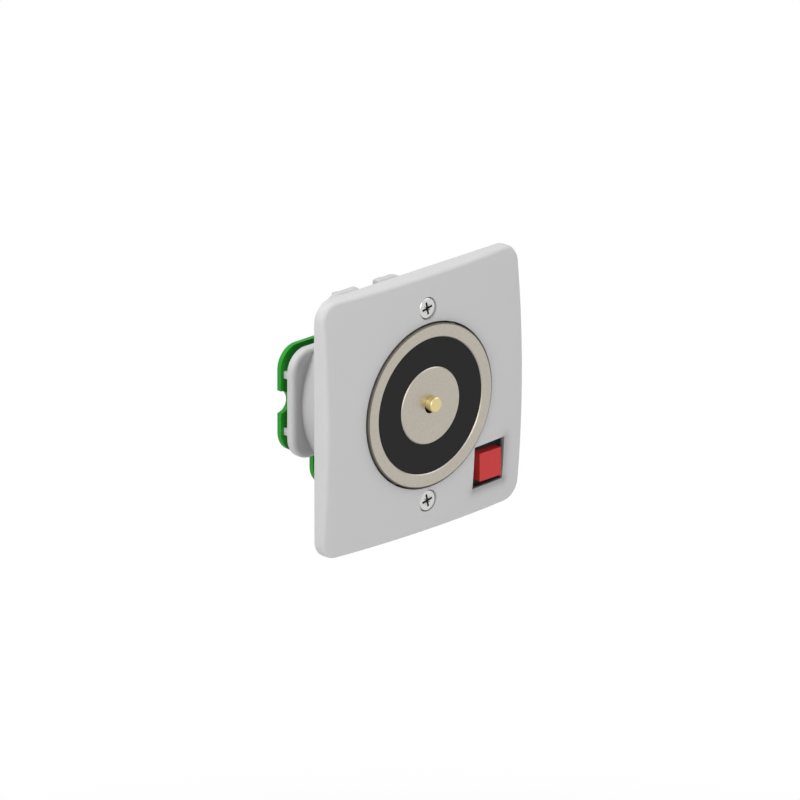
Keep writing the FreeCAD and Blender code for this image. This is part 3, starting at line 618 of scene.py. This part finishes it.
def thread_part(z):
    """Screw thread as a height field on a cylinder: the radius falls and rises once a pitch along the axis,
    shifted by the turn, narrows to THREAD_TIP_SHARE at the tip and fades to the full shank at the head's
    end. Both ends close in a point on the axis."""
    turn = np.linspace(0, 2 * np.pi, THREAD_STEPS, endpoint=False)
    tip = SCREW_HIGH[1]
    y = np.linspace(THREAD_FRONT, tip, int((tip - THREAD_FRONT) / THREAD_PITCH * THREAD_ROWS))
    phase = np.mod(y[:, None] / THREAD_PITCH - turn[None, :] / (2 * np.pi), 1.0)
    groove = THREAD_DEPTH * (1 - np.abs(2 * phase - 1))
    to_tip = np.clip((tip - y) / THREAD_RADIUS, 0, 1)[:, None]
    fade = np.clip((y - THREAD_FRONT) / THREAD_PITCH, 0, 1)[:, None]
    radius = (THREAD_RADIUS - groove * fade) * (THREAD_TIP_SHARE + (1 - THREAD_TIP_SHARE) * to_tip)
    radius = np.vstack([np.zeros((1, len(turn))), radius, np.zeros((1, len(turn)))])
    y = np.concatenate([y[:1], y, y[-1:]])
    grid = np.stack([radius * np.cos(turn), y[:, None] + 0 * radius, z + radius * np.sin(turn)], axis=-1)
    return grid.reshape(-1, 3), grid_faces(len(y), len(turn))


def in_recess(middles, normals):
    """Faces of the drive recess: inside the head, behind its face."""
    off_axis = np.hypot(middles[:, 0], np.abs(middles[:, 2]) - SCREW_Z)
    depth = middles[:, 1] - SCREW_LOW[1]
    return (off_axis < RECESS_REACH) & (depth > SAME) & (depth < RECESS_DEPTH)


# The drive recess's faces take the painted shade of the recess.
dressed(
    "plate_screws", "plated_steel", ZINC, RECESS_PAINTED_SHADE, edge_mm=0.05,
    drop=lambda middle: middle[1] > THREAD_FRONT - SAME, second=in_recess,
)
both_threads = joined([thread_part(SCREW_Z), thread_part(-SCREW_Z)])
piece(as_mesh("plate_screw_threads", *both_threads, THREAD_SHARP_ANGLE), "body", "plated_steel", ZINC)


# Magnet and ejector

# The pot's outer broken edge reaches this far in from its side.
POT_EDGE = 0.9
# A sloping face is one whose normal's share along the axis lies between these.
FLAT_WALL = 0.2
FLAT_FRONT = 0.95


def broken_edges(middles, normals):
    """1 for the sloping faces that break a pole's front edges, and 0 for the others."""
    slope = np.abs(normals[:, 1])
    return ((slope > FLAT_WALL) & (slope < FLAT_FRONT)).astype(int)


def pot_finish(middles, normals):
    """1 for the pot's broken inner edge, in the nickel with painted shade, 2 for its outer side with the edge
    next to it, in the painted gap shade, 0 for the others.
    """
    outside = np.hypot(middles[:, 0], middles[:, 2]) > POT_RADIUS - POT_EDGE
    return np.where(outside & (np.abs(normals[:, 1]) < FLAT_FRONT), 2, broken_edges(middles, normals))


dressed("magnet_pot", "nickel", NICKEL, EDGE_PAINTED_SHADE, GAP_PAINTED_SHADE, second=pot_finish)
dressed("magnet_core", "nickel", NICKEL, EDGE_PAINTED_SHADE, second=broken_edges)
dressed("resin_ring", "resin", RESIN)
dressed("ejector_pin", "brass", BRASS)
plain("ejector_plug", BRASS)
plain("coil_bobbin", NYLON)
plain("coil_winding", COPPER)
dressed("coil_leads", "lead_sleeve", PVC)

SPRING_WIRE_RADIUS = 0.3
SPRING_TURNS = 7
SPRING_END_RISE = 0.05
SPRING_STEPS = 24
WIRE_STEPS = 10


def spring_part():
    """Compression spring: a round wire carried along a helix whose rise is small in the two end turns and
    even between them, so that the ends lie flat."""
    wire = SPRING_WIRE_RADIUS
    mean = (SPRING_HIGH[0] - SPRING_LOW[0]) / 2 - wire
    z = (SPRING_HIGH[2] + SPRING_LOW[2]) / 2
    front, back = SPRING_LOW[1] + wire, SPRING_HIGH[1] - wire
    along = np.linspace(0, 1, SPRING_TURNS * SPRING_STEPS + 1)
    closed = 1 / SPRING_TURNS
    rise = np.interp(along, [0, closed, 1 - closed, 1], [0, SPRING_END_RISE, 1 - SPRING_END_RISE, 1])
    angle = 2 * np.pi * SPRING_TURNS * along
    ring = np.linspace(0, 2 * np.pi, WIRE_STEPS, endpoint=False)
    reach = mean + wire * np.cos(ring)[None, :]
    grid = np.stack([
        reach * np.cos(angle)[:, None],
        front + (back - front) * rise[:, None] + wire * np.sin(ring)[None, :],
        z + reach * np.sin(angle)[:, None],
    ], axis=-1)
    middle = grid.mean(axis=1, keepdims=True)
    ends = [np.broadcast_to(middle[k], (1, len(ring), 3)) for k in (0, -1)]
    grid = np.concatenate([ends[0], grid, ends[1]])
    return grid.reshape(-1, 3), grid_faces(len(grid), len(ring))


spring_mesh = as_mesh("ejector_spring_coil", *spring_part(), ROUND_SHARP_ANGLE)
spring = piece(spring_mesh, "body", "spring_steel", SPRING_STEEL)
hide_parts("ejector_spring")
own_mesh(spring)


# Push button

dressed("button_cap", "button_plastic", RED_ABS, edge_mm=0.1)
dome = dressed("snap_dome", "spring_steel", SPRING_STEEL)
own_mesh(dome)
dressed("button_board", "board", MASK, edge_mm=0.05)
dressed("button_leads", "lead_sleeve", PVC)


# Circuit board

dressed("circuit_board", "board", MASK, edge_mm=0.06)
dressed("terminal_block", "terminal_plastic", GREEN_NYLON, edge_mm=0.15)
dressed("terminal_clamps", "plated_steel", ZINC, edge_mm=0.05)
dressed("terminal_screws", "plated_steel", ZINC, edge_mm=0.05)

CLAMP_Z = (CLAMP_LOW[2] + CLAMP_HIGH[2]) / 2
COIL_LEAD_Z = (COIL_LEAD_LOW[2] + COIL_LEAD_HIGH[2]) / 2
COIL_LEAD_X = COIL_LEAD_HIGH[0] - (COIL_LEAD_HIGH[2] - COIL_LEAD_LOW[2]) / 2
CLAMP_HALF_WIDTH = 1.9
TERMINALS = 4
TERMINAL_X = np.linspace(CLAMP_LOW[0] + CLAMP_HALF_WIDTH, CLAMP_HIGH[0] - CLAMP_HALF_WIDTH, TERMINALS)
DIODE_RADIUS = 1.35
DIODE_HALF = 2.62
DIODE_LEG_RADIUS = 0.4
DIODE_LEG_X = FLYBACK_HIGH[0] - DIODE_LEG_RADIUS
POLARITY_Z = (POLARITY_LOW[2] + POLARITY_HIGH[2]) / 2
FLYBACK_Z = (FLYBACK_LOW[2] + FLYBACK_HIGH[2]) / 2
# The painted ring: where it starts and ends along the diode, its inner radius and how far it stands proud
BAND_START = -2.1
BAND_END = -1.3
BAND_INSIDE = 0.9
BAND_PROUD = 0.02
BAND_STEPS = 48


def diode(node, middle_y, middle_z):
    """One axial diode: black resin with tinned legs, and a painted ring at one end, which is a rectangle
    turned round the diode's own line."""
    def is_leg(middles, normals):
        off_axis = np.hypot(middles[:, 1] - middle_y, middles[:, 2] - middle_z)
        return (np.abs(middles[:, 0]) > DIODE_HALF) | (off_axis < DIODE_LEG_RADIUS + SAME)

    dressed(node, "resin", RESIN, SOLDER, second=is_leg)
    inside, outside = BAND_INSIDE, DIODE_RADIUS + BAND_PROUD
    ring = [
        (inside, BAND_START), (outside, BAND_START), (outside, BAND_END), (inside, BAND_END),
        (inside, BAND_START),
    ]
    points, faces = turned_grid(ring, BAND_STEPS)
    across = np.stack([points[:, 1], middle_y + points[:, 0], middle_z + points[:, 2]], axis=-1)
    piece(as_mesh(node + "_band", across, faces), "body", "resin", BAND)


diode("polarity_diode", POLARITY_HIGH[1] - DIODE_RADIUS, POLARITY_Z)
diode("flyback_diode", FLYBACK_HIGH[1] - DIODE_RADIUS, FLYBACK_Z)

# Solder joints: the pad's thickness, the bare rim round the solder, the round top and the sizes at each kind
PAD_HEIGHT = 0.05
PAD_MARGIN = 0.15
SHOULDER_SHARE = 0.6
SHOULDER_RISE = 0.13
TOP_RISE = 0.17
TERMINAL_PAD = 1.3
DIODE_PAD = 1.05
LEAD_PAD = 1.6
WIRE_RADIUS = 0.66
JOINT_FIT = 0.02
JOINT_HEIGHT = 0.8
LEAD_JOINT_HEIGHT = 0.95
JOINT_ROWS = 9
JOINT_STEPS = 24


def solder_part(x, z, y, way, pad_radius, pin_radius, height):
    """Solder joint: a hollow cone that climbs the pin, its radius falling with the square of the height left,
    with a round top and a thin pad under it. way is 1 towards the wall and -1 towards the door."""
    rise = np.linspace(0, 1, JOINT_ROWS)
    radius = pin_radius + (pad_radius - PAD_MARGIN - pin_radius) * (1 - rise) ** 2
    up = PAD_HEIGHT + rise * height
    profile = [(0, 0), (pad_radius, 0), (pad_radius, PAD_HEIGHT)]
    profile += list(zip(radius, up))
    profile += [(pin_radius * SHOULDER_SHARE, height + SHOULDER_RISE), (0, height + TOP_RISE)]
    profile = [(r, y + way * h) for r, h in profile]
    return turned_grid(profile, JOINT_STEPS, x, z)


def board_joints():
    """All solder joints: on the board's front under terminals and diodes, on its back at the leads."""
    parts = []
    for x in TERMINAL_X:
        parts.append(solder_part(x, CLAMP_Z, BOARD_FRONT, -1, TERMINAL_PAD, WIRE_RADIUS, JOINT_HEIGHT))
    leg = DIODE_LEG_RADIUS + JOINT_FIT
    for z in (POLARITY_Z, FLYBACK_Z):
        for x in (-DIODE_LEG_X, DIODE_LEG_X):
            parts.append(solder_part(x, z, BOARD_FRONT, -1, DIODE_PAD, leg, JOINT_HEIGHT))
    for x in (-COIL_LEAD_X, COIL_LEAD_X):
        parts.append(solder_part(x, COIL_LEAD_Z, BOARD_BACK, 1, LEAD_PAD, WIRE_RADIUS, LEAD_JOINT_HEIGHT))
    return parts


piece(as_mesh("board_solder", *joined(board_joints())), "body", "plated_steel", SOLDER)

TRACK_WIDTH = 0.9
TRACK_HEIGHT = 0.07
TRACK_STEPS = 7
# The least cosine of half a corner's turn, so that no corner grows wider than twice the track
SHARPEST_CORNER = 0.5


def track_part(corners):
    """A copper track: a half ellipse, flat on the board, carried along a line of straight runs. At a corner
    it lies on the line that halves the angle and is widened by one over that half angle's cosine."""
    corners = np.asarray(corners, float)
    run = np.diff(corners, axis=0)
    run = run / np.linalg.norm(run, axis=1, keepdims=True)
    before = np.vstack([run[:1], run])
    after = np.vstack([run, run[-1:]])
    mean = before + after
    mean = mean / np.linalg.norm(mean, axis=1, keepdims=True)
    side = np.stack([-mean[:, 1], mean[:, 0]], axis=1)
    widen = 1 / np.maximum(np.sum(mean * after, axis=1), SHARPEST_CORNER)
    ring = np.linspace(0, np.pi, TRACK_STEPS)
    across = TRACK_WIDTH / 2 * np.cos(ring)
    up = TRACK_HEIGHT * np.sin(ring)
    flat = corners[:, None, :] + side[:, None, :] * (widen[:, None] * across[None, :])[:, :, None]
    grid = np.stack([
        flat[:, :, 0], BOARD_BACK + np.broadcast_to(up, flat.shape[:2]), flat[:, :, 1],
    ], axis=-1)
    middle = np.stack([corners[:, 0], np.full(len(corners), BOARD_BACK), corners[:, 1]], axis=-1)
    ends = [np.broadcast_to(middle[k], (1, len(ring), 3)) for k in (0, -1)]
    grid = np.concatenate([ends[0], grid, ends[1]])
    return grid.reshape(-1, 3), grid_faces(len(grid), len(ring))


def board_tracks():
    """Tracks on the board's back between the coil, the two diodes, the terminals and the button's leads.
    Each is a list of points across and up the board, chosen between joints taken from the frame."""
    x, z = COIL_LEAD_X, COIL_LEAD_Z
    leg = DIODE_LEG_X
    first, second, third, fourth = TERMINAL_X
    routes = [
        [(x, z), (x, -7.1), (leg, -5.0), (leg, FLYBACK_Z)],
        [(-x, z), (-x, -7.1), (-leg, -5.0), (-leg, FLYBACK_Z)],
        [(leg, FLYBACK_Z), (leg, POLARITY_Z)],
        [(-leg, POLARITY_Z), (-9.0, 2.1), (-9.0, -12.0), (first, -13.5), (first, CLAMP_Z)],
        [(second, CLAMP_Z), (second, -16.0), (-x, -15.5), (-x, z)],
        [(fourth, CLAMP_Z), (12.2, CLAMP_Z), (14.9, -18.7), (14.9, -16.5)],
        [(third, CLAMP_Z), (third, -18.9), (fourth, -13.9), (15.4, -13.9), (16.4, -14.9)],
    ]
    return [track_part(route) for route in routes]


piece(as_mesh("board_tracks", *joined(board_tracks()), ROUND_SHARP_ANGLE), "body", "board", TRACK)


# Stage, light and camera

def background(tree):
    """1 for what the camera, gloss and glass see, which is the white background, and 0 for the light."""
    path = add(tree, "ShaderNodeLightPath")
    seen = add(tree, "ShaderNodeMath", links={
        0: path.outputs["Is Camera Ray"], 1: path.outputs["Is Glossy Ray"],
    }, operation="MAXIMUM")
    return add(tree, "ShaderNodeMath", links={
        0: seen.outputs["Value"], 1: path.outputs["Is Transmission Ray"],
    }, operation="MAXIMUM").outputs["Value"]


# The room is white to look at and gives hardly any light, so that the lamps shape the holder.
AMBIENT = 0.09
world = bpy.data.worlds.new("white_room")
bpy.context.scene.world = world
world.use_nodes = True
world.node_tree.nodes.clear()
dim = add(world.node_tree, "ShaderNodeBackground", {"Color": (1, 1, 1, 1), "Strength": AMBIENT})
white = add(world.node_tree, "ShaderNodeBackground", {"Color": (1, 1, 1, 1), "Strength": 1.0})
chosen = add(world.node_tree, "ShaderNodeMixShader", links={
    0: background(world.node_tree), 1: dim.outputs["Background"], 2: white.outputs["Background"],
})
add(world.node_tree, "ShaderNodeOutputWorld", links={"Surface": chosen.outputs["Shader"]})

# The floor, in metres. Its shadow shows fully up to SHADOW_CORE from the middle and is gone at SHADOW_REACH.
FLOOR_COLOUR = "d8d8d8"
FLOOR_DROP = 0.25
FLOOR_SIDE = 12.0
SHADOW_CORE = 0.12
SHADOW_REACH = 0.36


def pale_floor():
    """A plain pale floor well below the holder, which hangs as it does on its wall."""
    half = FLOOR_SIDE / 2
    corners = [(-half, -half), (half, -half), (half, half), (-half, half)]
    mesh = bpy.data.meshes.new("floor")
    mesh.from_pydata([(x, y, -FLOOR_DROP) for x, y in corners], [], [(0, 1, 2, 3)])
    floor = bpy.data.objects.new("floor", mesh)
    bpy.context.scene.collection.objects.link(floor)
    material = bpy.data.materials.new("paper_white_matt")
    material.use_nodes = True
    tree = material.node_tree
    tree.nodes.clear()
    matt = add(tree, "ShaderNodeBsdfDiffuse", {"Color": linear(FLOOR_COLOUR)})
    glow = add(tree, "ShaderNodeEmission", {"Color": (1, 1, 1, 1), "Strength": 1.0})
    # Under the holder the floor stays matt and keeps its shadow; farther out it glows as white as the room.
    place = add(tree, "ShaderNodeTexCoord").outputs["Object"]
    flat = add(tree, "ShaderNodeVectorMath", {1: (1.0, 1.0, 0.0)}, {0: place}, operation="MULTIPLY")
    away = add(tree, "ShaderNodeVectorMath", links={0: flat.outputs["Vector"]}, operation="LENGTH")
    far = add(tree, "ShaderNodeMapRange", {
        "From Min": SHADOW_CORE, "From Max": SHADOW_REACH,
    }, {"Value": away.outputs["Value"]}, interpolation_type="SMOOTHSTEP")
    share = add(tree, "ShaderNodeMath", links={
        0: background(tree), 1: far.outputs["Result"],
    }, operation="MULTIPLY")
    mixed = add(tree, "ShaderNodeMixShader", links={
        0: share.outputs["Value"], 1: matt.outputs["BSDF"], 2: glow.outputs["Emission"],
    })
    add(tree, "ShaderNodeOutputMaterial", links={"Surface": mixed.outputs["Shader"]})
    mesh.materials.append(material)


pale_floor()


def soft_lamp(name, towards, distance, size, power):
    """A square soft lamp in a direction from the holder, turned to face it."""
    lamp = bpy.data.lights.new(name, "AREA")
    lamp.size = size
    lamp.energy = power
    made = bpy.data.objects.new(name, lamp)
    bpy.context.scene.collection.objects.link(made)
    direction = Vector(towards).normalized()
    made.location = direction * distance
    made.rotation_mode = "QUATERNION"
    made.rotation_quaternion = direction.to_track_quat("Z", "Y")


# One lamp for the front, one for the left side, one for the top edge, one for what stands behind the plate
# and one that fills in from the right. Each has its direction, distance and side in metres, and its watts.
LAMP_DISTANCE = 1.6
soft_lamp("lamp_front_left", (-0.34, -0.92, 0.2), LAMP_DISTANCE, 0.8, 14.2)
soft_lamp("lamp_left", (-1.0, 0.2, 0.1), LAMP_DISTANCE, 0.7, 6.8)
soft_lamp("lamp_above", (0.0, 0.04, 1.0), LAMP_DISTANCE, 0.8, 11.4)
soft_lamp("lamp_above_behind", (-0.5, 0.42, 0.75), LAMP_DISTANCE, 1.3, 15.6)
soft_lamp("lamp_right", (0.7, -0.2, 0.7), LAMP_DISTANCE, 1.2, 7.6)

# The photograph's view: it has no perspective, so the camera stands far away with a long lens.
PICTURE_SIDE = 800
PIXELS_PER_MM = 3.412
AZIMUTH = math.radians(-43.9)
ELEVATION = math.radians(20.4)
VIEW_CENTRE = Vector((-2.774, 2.570, -0.193)) * MM
CAMERA_DISTANCE = 8.0


def photo_camera():
    """Camera on the line of sight through the picture's middle, wide enough for the whole picture there."""
    lens = bpy.data.cameras.new("camera")
    made = bpy.data.objects.new("camera", lens)
    bpy.context.scene.collection.objects.link(made)
    level = math.cos(ELEVATION)
    back = Vector((math.sin(AZIMUTH) * level, -math.cos(AZIMUTH) * level, math.sin(ELEVATION)))
    made.location = VIEW_CENTRE + back * CAMERA_DISTANCE
    made.rotation_mode = "QUATERNION"
    made.rotation_quaternion = back.to_track_quat("Z", "Y")
    lens.sensor_width = 36.0
    lens.lens = lens.sensor_width * CAMERA_DISTANCE / (PICTURE_SIDE / PIXELS_PER_MM * MM)
    lens.clip_start = 0.1
    lens.clip_end = 100.0
    bpy.context.scene.camera = made


photo_camera()
bpy.context.scene.view_settings.view_transform = "Standard"
